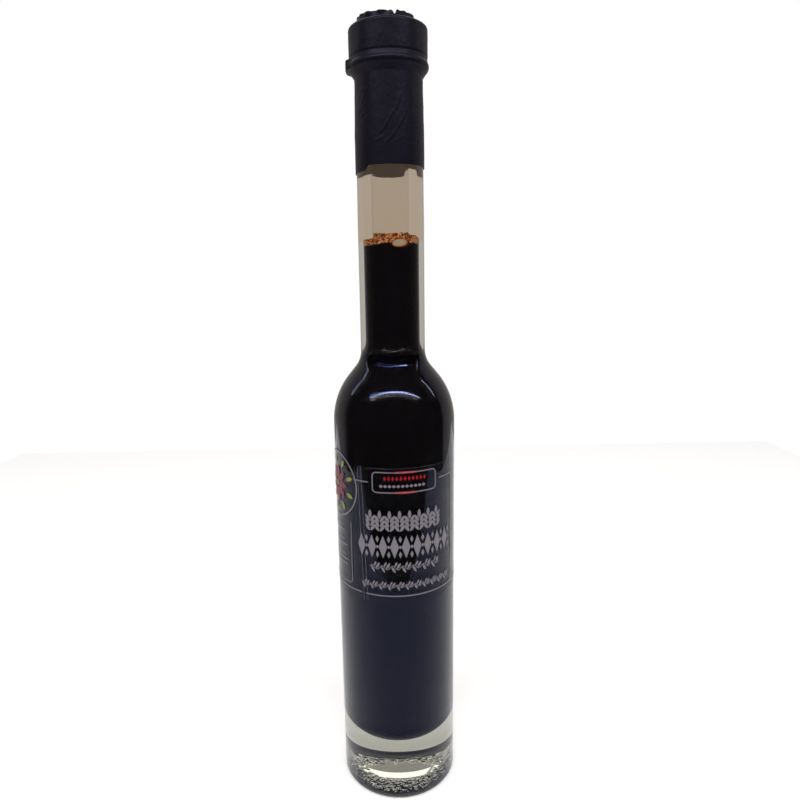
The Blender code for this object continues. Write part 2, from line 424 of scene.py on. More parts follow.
def face_outwards(thing, fill_ends=False):
    """Recalculate the normals of a closed piece, so that they all point out."""
    shape = bmesh.new()
    shape.from_mesh(thing.data)
    if fill_ends:
        bmesh.ops.holes_fill(shape, edges=[e for e in shape.edges if e.is_boundary], sides=0)
    bmesh.ops.recalc_face_normals(shape, faces=shape.faces)
    shape.to_mesh(thing.data)
    shape.free()
    thing.data.set_sharp_from_angle(angle=SHARP_ANGLE)


LATHE = lathe_tree()


def turned(name, outline, material, steps=160):
    thing = from_points(name, [(max(r, 0.0), 0.0, z) for r, z in outline])
    run_tree(thing, LATHE, {"Points": len(outline), "Steps": steps, "Start": 0.0,
                            "Sweep": 2.0 * pi, "Material": material})
    face_outwards(thing)
    print(name, "has", len(thing.data.polygons), "faces")
    return thing


# %% [markdown]
# Flint glass is clear with the faintest grey, and it is fire-polished, so its roughness is nearly
# nothing. It is blown in a mould, so the outside is very slightly wavy, which bends reflections.

# %% Flint glass
GLASS_IOR = 1.52
WAVE_STRETCH = (1.0, 1.0, 0.35)  # the waves are longer up the bottle than round it
glass, tree, shader = new_material("moulded_flint_glass", Roughness=0.015, IOR=GLASS_IOR,
                                   Transmission_Weight=1.0, Specular_Tint=linear("#636DA8"))
place = add(tree, "ShaderNodeTexCoord").outputs["Object"]
stretched = add(tree, "ShaderNodeMapping", inputs={"Vector": place, "Scale": WAVE_STRETCH})
wave = add(tree, "ShaderNodeTexNoise", inputs={"Vector": stretched.outputs[0], "Scale": 55.0,
                                               "Detail": 1.0})
raised(tree, shader, wave.outputs[0], 0.06, 0.0006)

# Thick glass is darker and greener than thin glass, and vinegar has stained the empty neck. Two
# values stored on the mesh say where that is.
by_thickness = mixed(tree, stored(tree, "thick_glass"), linear("#F4F5F2"), linear("#BFC0B4"))
tint = mixed(tree, stored(tree, "stain"), by_thickness, linear("#F5E4D2"))
tree.links.new(tint, shader.inputs["Base Color"])

# The ring that the bottle stands on is scuffed by shelves, so it is dull and rough. Its dark grey,
# nearly opaque colour is painted shade: the contact shadow where the base meets the floor.
scuffed_shaded_glass, tree, shader = new_material("scuffed_and_shaded_base_ring", Roughness=0.4, IOR=GLASS_IOR,
                                           Transmission_Weight=0.1)
painted_contact_shade = mixed(tree, object_noise(tree, 900.0), linear("#1E1A18"), linear("#625C56"))
tree.links.new(painted_contact_shade, shader.inputs["Base Color"])

# %% Turn the glass
PUNT_STEPS = 72
STIPPLE_BAND = (7.5, 16.8)  # small moulded bumps in the hollow, between these radii
STIPPLE_HEIGHT = 1.1
STIPPLE_SPACING = 1.15  # bumps to a millimetre, roughly
STIPPLE_LEVEL = 0.12  # noise below this leaves the hollow smooth
SCUFFED_SHADED_BAND = (16.5, 23.4)
SCUFFED_SHADED_TOP_Z = 0.6
STAIN = (0.15, 1.0)  # stored on the neck's inside and on its outside
STAIN_FADE = 0.45  # the share that is gone at the mouth


def glass_outline():
    ring_inner_r = BODY_R - HEEL_R - REST_RING_WIDTH
    punt_r = (ring_inner_r ** 2 + PUNT_DEPTH ** 2) / (2.0 * PUNT_DEPTH)
    punt_angle = asin(ring_inner_r / punt_r)
    punt = arc((0.0, PUNT_DEPTH - punt_r), punt_r, pi / 2.0, pi / 2.0 - punt_angle,
               PUNT_STEPS)
    heel = arc((BODY_R - HEEL_R, HEEL_R), HEEL_R, -pi / 2.0, 0.0, 12)
    wall = [(BODY_R, CAVITY_FLOOR_Z - 1.0)]
    covered = offset(skirt() + collar(), FILM_THICKNESS + FILM_GAP)[:-1]
    lip_r = covered[-1][0] - 0.1
    lip = [(lip_r, MOUTH_Z - MOUTH_BEVEL), (lip_r - MOUTH_BEVEL, MOUTH_Z)]
    mouth = [(BORE_R + MOUTH_BEVEL, MOUTH_Z), (BORE_R, MOUTH_Z - MOUTH_BEVEL)]
    outer = punt + heel + wall + shoulder(BODY_R, NECK_R, SHOULDER_R, THROAT_R)
    neck = [(NECK_R, z) for z in (VINEGAR_LEVEL_Z - 0.2, VINEGAR_LEVEL_Z, NECK_STRAIGHT_TOP_Z)]
    bore = [(BORE_R, VINEGAR_LEVEL_Z + rise) for rise in (36.0, 12.0, 0.6, 0.0)]
    return outer + neck + covered + lip + mouth + bore + cavity()[::-1]


bottle = turned("clear_glass_bottle", glass_outline(), glass, steps=512)
middle, reach = sum(STIPPLE_BAND) / 2.0, (STIPPLE_BAND[1] - STIPPLE_BAND[0]) / 2.0
stain, thick_glass = [], []
for vert in bottle.data.vertices:
    x, y, z = vert.co / MM
    across = (hypot(x, y) - middle) / reach
    if z < PUNT_DEPTH + 0.01 and abs(across) < 1.0:
        dots = max(0.0, noise.noise(Vector((x, y, 0.5)) * STIPPLE_SPACING) - STIPPLE_LEVEL)
        vert.co.z += STIPPLE_HEIGHT * MM * dots * (1.0 - across ** 4)
    strength = STAIN[0] if hypot(x, y) < BORE_R + 1.0 else STAIN[1]
    left_of_it = 1.0 - STAIN_FADE * (z - VINEGAR_LEVEL_Z) / (MOUTH_Z - VINEGAR_LEVEL_Z)
    stain.append(strength * left_of_it if z > VINEGAR_LEVEL_Z - 0.1 else 0.0)
    thick_glass.append(1.0 if vert.co.z < CAVITY_FLOOR_Z * MM else 0.0)
store(bottle.data, "stain", stain)
store(bottle.data, "thick_glass", thick_glass)
# Faces of the standing ring get the scuffed glass with its painted contact shade.
bottle.data.materials.append(scuffed_shaded_glass)
for face in bottle.data.polygons:
    x, y, z = face.center / MM
    if z < SCUFFED_SHADED_TOP_Z and SCUFFED_SHADED_BAND[0] < hypot(x, y) < SCUFFED_SHADED_BAND[1]:
        face.material_index = len(bottle.data.materials) - 1
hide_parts("glass_bottle")
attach(bottle, "root")

# %% [markdown]
# Such vinegar is so dark that light never comes back through a bottle of it, so it is an opaque
# near-black body with a trace of violet. It reaches a twentieth of a millimetre into the wall: with
# any gap at all a silver skin of trapped air would show between the two.

# %% Vinegar
REACH_INTO_WALL = 0.05
MENISCUS = 0.5
dark_vinegar, tree, shader = new_material("balsamic_vinegar", Roughness=0.12, IOR=1.36,
                                          Specular_IOR_Level=0.12)
tone = mixed(tree, object_noise(tree, 60.0), linear("#08060B"), linear("#0E0A10"))
tree.links.new(tone, shader.inputs["Base Color"])

surface = [(BORE_R + REACH_INTO_WALL, VINEGAR_LEVEL_Z + MENISCUS),
           (BORE_R - 0.6, VINEGAR_LEVEL_Z + 0.12), (BORE_R - 1.6, VINEGAR_LEVEL_Z),
           (0.0, VINEGAR_LEVEL_Z)]
vinegar = turned("dark_vinegar", cavity(REACH_INTO_WALL) + surface, dark_vinegar)
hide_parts("vinegar")
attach(vinegar, "root")

# %% [markdown]
# Shaking leaves froth on vinegar: a ring of fine amber bubbles against the glass, with one big
# bubble among them. Geometry Nodes scatter them: points get a random angle, radius, height and size
# from fixed seeds, and each carries a small ball of eighty faces.

# %% Froth material
froth_skin, tree, shader = new_material("amber_froth", Roughness=0.25, IOR=1.34)
place = add(tree, "ShaderNodeTexCoord").outputs["Object"]
cells = add(tree, "ShaderNodeTexVoronoi", inputs={"Vector": place, "Scale": 1700.0})
cell = cells.outputs["Distance"]
# The pale cell middles are painted highlights; the amber and brown are the froth's colour.
froth_tone_and_highlights = colour_ramp(tree, cell, [(0.05, "#F4D2AC"), (0.38, "#CF8444"), (0.74, "#6A2C10")])
dark_spots = add(tree, "ShaderNodeMapRange", inputs={
    "Value": object_noise(tree, 700.0, 1.0), "From Min": 0.36, "From Max": 0.46,
    "To Min": 0.35, "To Max": 1.0})
spotted = mixed(tree, 1.0, froth_tone_and_highlights, dark_spots.outputs["Result"], "MULTIPLY")
tree.links.new(spotted, shader.inputs["Base Color"])
raised(tree, shader, cell, 0.6, 0.0002, invert=True)

# %% Froth against the wall
FROTH_LOW_Z = 219.2
FROTH_HIGH_Z = 222.1
FROTH_HEAP_AZ = 22.0  # it is thickest a little to the right of the front
FROTH_HEAP = 0.2  # how much higher its top is there
FROTH_THINNING = 0.8  # how much thinner it gets away from there
FROTH_SINKING = 1.1  # and how much lower
FROTH_LUMPS, FROTH_GRAIN = 0.3, 0.2  # heights of its coarse and fine unevenness
wall_r = BORE_R + REACH_INTO_WALL + 0.03
froth_outline = [(0.0, FROTH_LOW_Z + 0.5), (wall_r, FROTH_LOW_Z), (wall_r, FROTH_HIGH_Z),
                 (wall_r - 1.2, FROTH_HIGH_Z - 0.35), (wall_r - 3.0, FROTH_HIGH_Z - 1.0),
                 (0.0, FROTH_HIGH_Z - 1.2)]
froth = turned("froth_ring", froth_outline, froth_skin, steps=240)
for vert in froth.data.vertices:
    x, y, z = vert.co / MM
    spot = Vector((x * 0.45, y * 0.45, z))
    away = 1.0 - max(0.0, cos(atan2(x, -y) - radians(FROTH_HEAP_AZ)))
    above = max(0.0, z - VINEGAR_LEVEL_Z) / (FROTH_HIGH_Z - VINEGAR_LEVEL_Z)
    z += (FROTH_HEAP - FROTH_THINNING * away) * above - FROTH_SINKING * away
    z += FROTH_LUMPS * noise.noise(spot) + FROTH_GRAIN * noise.noise(spot * 5.0)
    vert.co.z = z * MM
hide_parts("froth")
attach(froth, "root")

# %% Loose bubbles on top of it
BUBBLE_R = (0.15, 0.42)
BUBBLES = 420
BUBBLE_REACH = 3.5  # how far from the wall the last ones float
BUBBLE_CROWDING = 2.5  # a higher power keeps more of them near the wall


def bubble_tree():
    tree, given = new_tree("loose_bubbles", ["Count"],
                           ["Wall Radius", "Low", "High", "Smallest", "Largest"])

    def draw(low, high, seed):
        values = {2: low, 3: high, "Seed": seed}
        return add(tree, "FunctionNodeRandomValue", inputs=values).outputs[1]

    size = draw(given["Smallest"], given["Largest"], 11)
    spread = maths(tree, "POWER", draw(0.0, 1.0, 5), BUBBLE_CROWDING)
    inward = maths(tree, "MULTIPLY", spread, BUBBLE_REACH * MM)
    radius = maths(tree, "SUBTRACT", maths(tree, "SUBTRACT", given["Wall Radius"], size), inward)
    angle = draw(0.0, 2.0 * pi, 7)
    place = add(tree, "ShaderNodeCombineXYZ", inputs={
        0: maths(tree, "MULTIPLY", radius, maths(tree, "COSINE", angle)),
        1: maths(tree, "MULTIPLY", radius, maths(tree, "SINE", angle)),
        2: draw(given["Low"], given["High"], 3)})
    points = step(tree, "Points", Count=given["Count"], Position=place.outputs[0])
    ball = step(tree, "MeshIcoSphere", Radius=1.0, Subdivisions=2)
    copies = step(tree, "InstanceOnPoints", Points=points, Instance=ball, Scale=size)
    real = step(tree, "RealizeInstances", Geometry=copies)
    return send_out(tree, step(tree, "SetShadeSmooth", Geometry=real), given["Material"])


bubbles = from_points("loose_bubbles", [(0.0, 0.0, 0.0)])
run_tree(bubbles, bubble_tree(), {"Count": BUBBLES, "Wall Radius": BORE_R * MM,
                                  "Low": (FROTH_HIGH_Z - 0.9) * MM,
                                  "High": (FROTH_HIGH_Z + 0.2) * MM,
                                  "Smallest": BUBBLE_R[0] * MM, "Largest": BUBBLE_R[1] * MM,
                                  "Material": froth_skin})
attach(bubbles, "root")
print("bubbles have", len(bubbles.data.polygons), "faces")

# %% One big bubble, flattened against the wall
BIG_BUBBLE_AZ = 26.0
BIG_BUBBLE_Z = 218.8
BIG_BUBBLE_SIZE = (3.0, 0.12, 1.6)  # half its width, depth and height
# The bubble's colour is painted light and shade: a painted light patch up to the left, an orange
# band and a dark rim, with painted shade deepest on the lower right.
PAINTED_LIGHT_SPOT = (-0.28, 0.25)  # where on it the middle of its light patch is
PAINTED_SHADE_FALL = 0.86  # how fast it darkens from there
painted_bubble, tree, shader = new_material("big_bubble", Roughness=0.15, IOR=1.34)
skin = colour_ramp(tree, stored(tree, "rim"),
                   [(0.55, "#B9AC98"), (0.76, "#C97F3F"), (0.93, "#33120A")])
tree.links.new(skin, shader.inputs["Base Color"])

shape = bmesh.new()
bmesh.ops.create_uvsphere(shape, u_segments=48, v_segments=32, radius=1.0)
big_bubble_mesh = bpy.data.meshes.new("big_bubble")
shape.to_mesh(big_bubble_mesh)
shape.free()
# Each point stores how deep it lies in the painted shade: by the rim, or away from the light patch,
# whichever is darker.
painted_rim_shades = []
turn = radians(BIG_BUBBLE_AZ)
centre_r = BORE_R + REACH_INTO_WALL + 0.04
for vert in big_bubble_mesh.vertices:
    x, y, z = vert.co
    painted_shade = PAINTED_SHADE_FALL * hypot(x - PAINTED_LIGHT_SPOT[0], z - PAINTED_LIGHT_SPOT[1])
    painted_rim_shades.append(max(hypot(x, z) ** 2, painted_shade))
    x, y, z = [c * size for c, size in zip((x, y, z), BIG_BUBBLE_SIZE)]
    angle, radius = turn + x / BORE_R, centre_r - y
    vert.co = Vector((radius * sin(angle), -radius * cos(angle), BIG_BUBBLE_Z + z)) * MM
store(big_bubble_mesh, "rim", painted_rim_shades)
big_bubble_mesh.shade_smooth()
big_bubble_mesh.materials.append(painted_bubble)
big_bubble = in_scene("big_bubble", big_bubble_mesh)
face_outwards(big_bubble)
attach(big_bubble, "root")

# %% [markdown]
# The stopper is black moulded plastic. Only its top shows, inside the film's torn end, so it keeps
# the solid model's piece and gets a finish: a fine spark-eroded texture, which keeps such a plastic
# from shining.

# %% Stopper's finish
stopper_plastic, tree, shader = new_material("spark_textured_black_plastic", Roughness=0.5,
                                             Base_Color=linear("#201F22"), Specular_IOR_Level=0.4)
raised(tree, shader, object_noise(tree, 2600.0, 3.0), 0.35, 0.0001)
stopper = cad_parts["stopper"]
stopper.data.materials.clear()
stopper.data.materials.append(stopper_plastic)
print("stopper keeps", len(stopper.data.polygons), "faces")

# %% [markdown]
# The capsule is a sleeve of black film that was shrunk on with hot air. The lathe gives the tidy
# form, and then each point is pushed in or out by a relief: long creases where the film slid, fine
# pleats where it had to shrink most, and a gentle unevenness. Both skins of the film get the same
# push, so it keeps its thickness. Angles are measured from the front, and to the right they grow.

# %% Turn the capsule
HEAD_STEPS = 8
LIP_R = 10.1
LIP_SHIFT_X = -0.7  # the free end stands a little off the axis
LIP_LEAN = 0.12
LIP_STEPS = 8


def head():
    centre = (HEAD_R - HEAD_ROUND_R, HEAD_TOP_Z - HEAD_ROUND_R)
    side = [(HEAD_R, HEAD_START_Z + (centre[1] - HEAD_START_Z) * i / 10.0) for i in range(10)]
    return side + arc(centre, HEAD_ROUND_R, 0.0, pi / 2.0, HEAD_STEPS)


def spaced(points, longest):
    """Divide long stretches of an outline, so that a relief has points to move."""
    out = [points[0]]
    for (r0, z0), (r1, z1) in zip(points, points[1:]):
        parts = max(1, ceil(hypot(r1 - r0, z1 - z0) / longest))
        out += [(r0 + (r1 - r0) * i / parts, z0 + (z1 - z0) * i / parts)
                for i in range(1, parts + 1)]
    return out


film_outer = spaced(skirt(24) + collar(20) + head(), 0.35)
film_inner = offset(film_outer, FILM_THICKNESS)
foot = [(LIP_R + 0.25, HEAD_TOP_Z), (LIP_R + 0.05, HEAD_TOP_Z + 0.04)]
film_lip = [(LIP_R - LIP_LEAN * i / LIP_STEPS, HEAD_TOP_Z + 0.1 + 0.9 * i / LIP_STEPS)
            for i in range(LIP_STEPS + 1)]
lip_inner = [(r - FILM_THICKNESS, z) for r, z in film_lip[::-1]]
lip_inner[-1] = (LIP_R - FILM_THICKNESS, HEAD_TOP_Z - FILM_THICKNESS)
film_outline = film_outer + foot + film_lip + lip_inner + film_inner[::-1]
print("points on the film's outline:", len(film_outline))


# %% Satin black shrink film
shrink_film, tree, shader = new_material("black_shrink_film", IOR=1.5, Specular_IOR_Level=0.2,
                                         Specular_Tint=linear("#C9C2EA"), Emission_Strength=1.0)
raised(tree, shader, object_noise(tree, 1500.0, 4.0), 0.10, 0.0001)
patchy = ranged(tree, object_noise(tree, 220.0, 3.0), 0.36, 0.50)
tree.links.new(patchy, shader.inputs["Roughness"])
# The inner skin is painted a lighter brown-grey than the outer: painted light.
inner = stored(tree, "inside")
side = mixed(tree, inner, linear("#131119"), linear("#3A3530"))
tree.links.new(side, shader.inputs["Base Color"])

# It also glows a little, more painted light, for the daylight that comes through the thin film to
# its inner side.
painted_glow = mixed(tree, inner, linear("#000000"), linear("#47413B"))
tree.links.new(painted_glow, shader.inputs["Emission Color"])

capsule = turned("shrunk_film_capsule", film_outline + film_outline[:1], shrink_film, steps=320)

# %% Press the creases into the film
# Each crease is a list of (degrees from the front, height in mm) and the height of its ridge.
CREASES = [
    ([(-19.2, 254.6), (-8.4, 256.9), (3.9, 261.1), (12.7, 263.6), (16.1, 266.2), (21.2, 268.8)],
     0.30),
    ([(-10.8, 251.0), (7.7, 255.2), (18.0, 258.4), (27.3, 261.6)], 0.26),
    ([(-25.4, 252.7), (-7.8, 254.1)], 0.18),
    ([(8.6, 252.2), (19.2, 254.2)], 0.16),
    ([(-62.0, 262.0), (-50.0, 265.5), (-41.0, 270.0)], 0.16),
    ([(38.0, 249.0), (52.0, 252.6)], 0.14),
]
CREASE_WIDTH = 0.36
CREASE_STRENGTH = 0.3
PLEATS = 46
PLEAT_DEPTH = 0.015
PLEAT_Z = (274.0, 7.0)  # their middle, and how far up and down they fade
STREAKS = 31
STREAK_DEPTH = 0.015
STREAK_Z = (283.2, 2.6)
UNEVENNESS = 0.06
FINE_UNEVENNESS = 0.03
CALM_TOP = 0.4  # the share of all this that the flat top keeps
DEEPEST = -0.12  # keeps the film off the glass
random.seed(21)
for _ in range(26):  # short random creases, mostly on the sides and the back
    az, z = random.uniform(40.0, 310.0), random.uniform(248.0, 273.0)
    run = random.uniform(8.0, 22.0)
    CREASES.append(([(az, z), (az + run, z + random.uniform(1.0, 4.5))], random.uniform(0.08, 0.2)))
CREASES += [([(az - 360.0, z) for az, z in line], ridge) for line, ridge in CREASES[6:]]


def bump_at(distance, half_width):
    if abs(distance) >= half_width:
        return 0.0
    return 0.5 + 0.5 * cos(pi * distance / half_width)


def angle_between(a, b):
    return (a - b + 180.0) % 360.0 - 180.0


def crease_relief(az, z):
    across = radians(1.0) * NECK_R
    total = 0.0
    for line, ridge in CREASES:
        if not (line[0][0] - 8 < az < line[-1][0] + 8 and line[0][1] - 2 < z < line[-1][1] + 2):
            continue
        best, side, along = 9.0, 0.0, 0.0
        for i, (a, b) in enumerate(zip(line, line[1:])):
            ax, low = a[0] * across, a[1]
            dx, dz = (b[0] - a[0]) * across, b[1] - a[1]
            t = ((az * across - ax) * dx + (z - low) * dz) / (dx * dx + dz * dz)
            t = min(max(t, 0.0), 1.0)
            away_x, away_z = az * across - ax - t * dx, z - low - t * dz
            gap = hypot(away_x, away_z)
            if gap < best:
                best, side, along = gap, away_z, (i + t) / (len(line) - 1)
        fade = min(1.0, 5.0 * along + 0.25, 5.0 * (1.0 - along) + 0.25)
        crest = exp(-(best / CREASE_WIDTH) ** 2)
        furrow = exp(-((best - 0.75) / 0.5) ** 2) if side < 0.0 else 0.0
        total += ridge * fade * (crest - 0.35 * furrow)
    return total


def film_relief(az, z):
    """How far the film stands out of its tidy form, in mm."""
    a = radians(az)
    spot = Vector((sin(a) * 3.0, cos(a) * 3.0, z * 0.22))
    push = UNEVENNESS * noise.noise(spot) + FINE_UNEVENNESS * noise.noise(spot * 4.0)
    if z < WAIST_Z + 2.0:
        push += CREASE_STRENGTH * crease_relief(az, z)
        drift = 5.0 * noise.noise(Vector((sin(a), cos(a), 7.0)))
        push += PLEAT_DEPTH * sin(PLEATS * a + drift) * bump_at(z - PLEAT_Z[0], PLEAT_Z[1])
    if z > HEAD_START_Z:
        drift = 9.0 * noise.noise(Vector((sin(a) * 2, cos(a) * 2, 1)))
        push += STREAK_DEPTH * sin(STREAKS * a + drift) * bump_at(z - STREAK_Z[0], STREAK_Z[1])
        return push * (CALM_TOP if z > HEAD_TOP_Z - 1.5 else 1.0)
    return push


FOLD_AZ = -90.0
FOLD_SPREAD = 26.0
FOLD_R = 15.1
FOLD_Z = (277.4, 281.1)
FOLD_RISE = 0.35  # the height over which it goes from nothing to full
FOLD_FLATNESS = 2.2  # cuts its round form off flat
CUT_Z = 245.1
CUT_WAVE = 0.15
LOW_SIDE_AZ = -135.0  # the cut edge hangs lower round this side
LOW_SIDE_HALF = 98.5
LOW_SIDE_DROP = 1.8
LOW_SIDE_STEP = 8.0  # degrees in which it drops
TOOTH_HEIGHT = 0.22
TOOTH_RATE = 0.55  # two over this is one tooth in degrees
RIM_HEIGHT = 2.65
RIM_SIDES = 0.6  # how much higher it is on the right and left
RIM_RAGS = 0.35
TEAR_AZ, TEAR_HALF_WIDTH, TEAR_DEPTH = 18.0, 5.0, 1.2


def fold(az, z, radius):
    """A flat flap of spare film under the head on the left, with sharp corners."""
    lower = min(1.0, max(0.0, (z - FOLD_Z[0]) / FOLD_RISE))
    upper = min(1.0, max(0.0, (FOLD_Z[1] - z) / FOLD_RISE))
    round_it = min(1.0, FOLD_FLATNESS * bump_at(angle_between(az, FOLD_AZ), FOLD_SPREAD))
    return (FOLD_R - radius) * round_it * lower * upper


def skirt_edge(az):
    """Height of the film's cut edge, which hangs lower on the left and at the back, with teeth."""
    a = radians(az)
    edge = CUT_Z + CUT_WAVE * noise.noise(Vector((sin(a) * 4, cos(a) * 4, 3)))
    low_side = abs(angle_between(az, LOW_SIDE_AZ))
    if low_side < LOW_SIDE_HALF:
        edge -= LOW_SIDE_DROP * min(1.0, (LOW_SIDE_HALF - low_side) / LOW_SIDE_STEP)
        edge += TOOTH_HEIGHT * abs((az * TOOTH_RATE) % 2.0 - 1.0)
    return edge


def rim_height(az):
    """Height of the film's free end round the hole in the top, with its ragged rim and a tear."""
    a = radians(az)
    ragged = RIM_RAGS * noise.noise(Vector((sin(a) * 7, cos(a) * 7, 5)))
    torn = TEAR_DEPTH * bump_at(angle_between(az, TEAR_AZ), TEAR_HALF_WIDTH)
    return RIM_HEIGHT + RIM_SIDES * sin(a) ** 2 + ragged - torn


# The inside mask marks the film's inner skin below the skirt's full height, where it gets painted
# light.
inner_side = [vert.normal.x * vert.co.x + vert.normal.y * vert.co.y < 0.0
              for vert in capsule.data.vertices]
store(capsule.data, "inside", [float(faces_in and vert.co.z < SKIRT_FULL_Z * MM)
                               for vert, faces_in in zip(capsule.data.vertices, inner_side)])
for vert, faces_in in zip(capsule.data.vertices, inner_side):
    x, y, z = vert.co / MM
    radius = hypot(x, y)
    az = degrees(atan2(x, -y))
    skin = FILM_THICKNESS if faces_in else 0.0
    push = max(film_relief(az, z), DEEPEST) + fold(az, z, radius + skin)
    if z > HEAD_TOP_Z - 0.5 and radius < LIP_R + 0.06:
        rise = max(0.0, z - HEAD_TOP_Z)
        z += rise * (rim_height(az) - 1.0)
        push = 0.45 * rise * noise.noise(Vector((x * 0.45, y * 0.45, z * 0.5)))
        x += LIP_SHIFT_X
    elif z < SKIRT_FULL_Z:
        z += (skirt_edge(az) - SKIRT_EDGE_Z) * (SKIRT_FULL_Z - z) / (SKIRT_FULL_Z - SKIRT_EDGE_Z)
    vert.co = Vector((x * (1.0 + push / radius), y * (1.0 + push / radius), z)) * MM
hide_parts("capsule")
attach(capsule, "root")

# %% [markdown]
# The label is a clear film once round the body, with a narrow gap where its ends meet. Nearly all
# of it is see-through: only a slight haze and its edges show, and the print seems to float.
# Its top edge rises in a round tab behind the round picture on the left.

# %% Clear film label
LABEL_Z = (86.9, 139.4)
LABEL_THICKNESS = 0.12
LABEL_GAP = 0.15
LABEL_GAP_AZ = -31.7
LABEL_GAP_WIDTH = 3.8
LABEL_SKEW = 4.1
LABEL_R = BODY_R + LABEL_GAP + LABEL_THICKNESS
MEDALLION_AZ = -68.0
MEDALLION_Z = 130.0
MEDALLION_R = 12.7
TAB_MARGIN = 0.9

clear_film = new_material("clear_label_film", Base_Color=linear("#3A3A40"), Roughness=0.5,
                          Specular_IOR_Level=0.0, Alpha=0.02)[0]

inner_r = BODY_R + LABEL_GAP
section = [(inner_r, LABEL_Z[0]), (LABEL_R, LABEL_Z[0]), (LABEL_R, LABEL_Z[1]),
           (inner_r, LABEL_Z[1]), (inner_r, LABEL_Z[0])]
label = from_points("film_label", [(r, 0.0, z) for r, z in section])
run_tree(label, LATHE, {"Points": len(section), "Steps": 240,
                        "Start": radians(LABEL_GAP_AZ + LABEL_GAP_WIDTH / 2.0 - 90.0),
                        "Sweep": radians(360.0 - LABEL_GAP_WIDTH), "Material": clear_film})


def label_top(az):
    across = radians(angle_between(az, MEDALLION_AZ)) * LABEL_R
    reach = MEDALLION_R + TAB_MARGIN
    rise = MEDALLION_Z + sqrt(reach ** 2 - across ** 2) if abs(across) < reach else 0.0
    return max(LABEL_Z[1], rise)


for vert in label.data.vertices:
    x, y, z = vert.co / MM
    az = degrees(atan2(x, -y))
    if z > LABEL_Z[1] - 0.01:
        z = label_top(az)
    lean = -LABEL_SKEW * (min(z, LABEL_Z[1]) - sum(LABEL_Z) / 2.0) / (LABEL_Z[1] - LABEL_Z[0])
    away = abs(angle_between(az, LABEL_GAP_AZ)) / 180.0
    turn = radians(az + lean * (1.0 - away))
    radius = hypot(x, y)
    vert.co = Vector((radius * sin(turn), -radius * cos(turn), z)) * MM
face_outwards(label, fill_ends=True)
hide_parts("label")
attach(label, "root")

# %% [markdown]
# The print is laid out flat, as on a designer's sheet: across is the distance round the bottle and
# up is the height. A second Geometry Nodes tree repeats a motif along a row, bends the sheet round
# the bottle and gives the ink a little thickness. Every mark is one kind of shape, a ribbon whose
# width may change along its way, so lozenges, ovals, leaves, frames and lines share one function.
# The marks are a plain design of this script's own, in the colours and sizes usual on such labels.

# %% Ribbons, and a tree that wraps them
INK_R = LABEL_R + 0.015
INK_THICKNESS = 0.02


def print_tree():
    tree, given = new_tree("print_row", ["Count"], ["Pitch", "Radius", "Thickness"])
    pitch = add(tree, "ShaderNodeCombineXYZ", inputs={0: given["Pitch"]}).outputs[0]
    row = step(tree, "MeshLine", Count=given["Count"], Offset=pitch)
    copies = step(tree, "InstanceOnPoints", Points=row, Instance=given["Geometry"])
    flat = step(tree, "RealizeInstances", Geometry=copies)
    place = add(tree, "ShaderNodeSeparateXYZ", inputs={0: step(tree, "InputPosition")})
    angle = maths(tree, "DIVIDE", place.outputs["X"], given["Radius"])
    across = maths(tree, "MULTIPLY", given["Radius"], maths(tree, "SINE", angle))
    near = maths(tree, "MULTIPLY", given["Radius"], maths(tree, "COSINE", angle))
    bent_place = add(tree, "ShaderNodeCombineXYZ", inputs={
        0: across, 1: maths(tree, "MULTIPLY", near, -1.0), 2: place.outputs["Z"]}).outputs[0]
    bent = step(tree, "SetPosition", Geometry=flat, Position=bent_place)
    both = tree.nodes.new("GeometryNodeJoinGeometry")
    lifted = add(tree, "GeometryNodeExtrudeMesh", inputs={
        "Mesh": bent, "Individual": False, "Offset Scale": given["Thickness"]}).outputs["Mesh"]
    for part in (lifted, step(tree, "FlipFaces", Mesh=bent)):
        tree.links.new(part, both.inputs[0])
    closed = step(tree, "MergeByDistance", Geometry=both.outputs[0], Distance=MERGE_DISTANCE)
    return send_out(tree, closed, given["Material"])


PRINT = print_tree()


def ribbon(points, width, closed=False):
    """A flat strip along points (across, up). Its width is a number or one for each point."""
    widths = [width] * len(points) if isinstance(width, (int, float)) else width
    count = len(points)
    verts = []
    for i, (x, z) in enumerate(points):
        before = points[i - 1] if closed or i else points[0]
        after = points[(i + 1) % count] if closed or i < count - 1 else points[-1]
        dx, dz = after[0] - before[0], after[1] - before[1]
        length = hypot(dx, dz) or 1.0
        half = widths[i] / 2.0
        verts += [(x - dz / length * half, 0.0, z + dx / length * half),
                  (x + dz / length * half, 0.0, z - dx / length * half)]
    spans = count if closed else count - 1
    faces = []
    for i in range(spans):
        j = (i + 1) % count
        faces.append((2 * i + 1, 2 * j + 1, 2 * j, 2 * i))
    return verts, faces


def filled(x, z, width, height, form, steps=14):
    """A solid mark that is as high at each place as its form says, from 0 to 1."""
    points = [(x - width / 2.0 + width * i / steps, z) for i in range(steps + 1)]
    highs = [max(0.02, height * form(2.0 * i / steps - 1.0)) for i in range(steps + 1)]
    return ribbon(points, highs)


def lozenge(x, z, width, height):
    return filled(x, z, width, height, lambda t: 1.0 - abs(t))


def oval(x, z, width, height):
    return filled(x, z, width, height, lambda t: sqrt(max(0.0, 1.0 - t * t)))


def oval_ring(x, z, width, height, line):
    turn = [2.0 * pi * i / 72 for i in range(72)]
    return ribbon([(x + width / 2.0 * cos(t), z + height / 2.0 * sin(t)) for t in turn],
                  line, closed=True)


def straight(x0, z0, x1, z1, line):
    parts = max(2, ceil(hypot(x1 - x0, z1 - z0) / 0.6))
    return ribbon([(x0 + (x1 - x0) * i / parts, z0 + (z1 - z0) * i / parts)
                   for i in range(parts + 1)], line)


